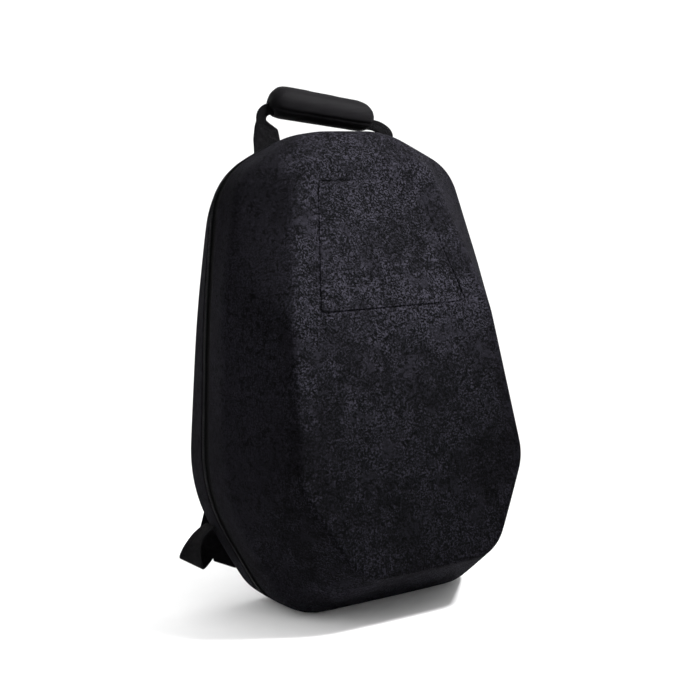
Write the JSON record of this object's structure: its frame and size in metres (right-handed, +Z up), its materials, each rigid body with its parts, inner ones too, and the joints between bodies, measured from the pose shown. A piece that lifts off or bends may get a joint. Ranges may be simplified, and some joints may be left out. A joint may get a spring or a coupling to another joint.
{
  "type": "game console backpack",
  "caption": "Hard moulded clamshell backpack with a faceted front, napped dark cover, a zip round its seam, a padded carry handle and padded shoulder straps.",
  "frame": {"origin": "centre of the pack's bounding box, on the surface that its base stands on", "axes": "+Z up, -Y towards the faceted front, +X to the right of a viewer in front of it"},
  "size_m": [0.342, 0.2262, 0.507],
  "materials": {
    "napped_cover": "crushed nap, charcoal, with light speckle",
    "zip_tape": "woven tape, black",
    "zip_coil": "moulded coil, black",
    "webbing": "woven webbing, black",
    "grip_cloth": "smooth satin cloth over padding, black",
    "strap_cloth": "matt cloth over padding, black",
    "black_plastic": "moulded, black"
  },
  "bodies": {
    "root": {"front_shell": "napped_cover", "back_shell": "napped_cover", "zip_tape": "zip_tape", "zip_coil": "zip_coil", "zip_slider": "black_plastic", "handle_strap": "webbing", "handle_grip": "grip_cloth", "shoulder_pad_left": "strap_cloth", "shoulder_pad_right": "strap_cloth", "adjuster_left": "black_plastic", "adjuster_right": "black_plastic", "strap_web_left": "webbing", "strap_web_right": "webbing"}
  },
  "joints": []
}
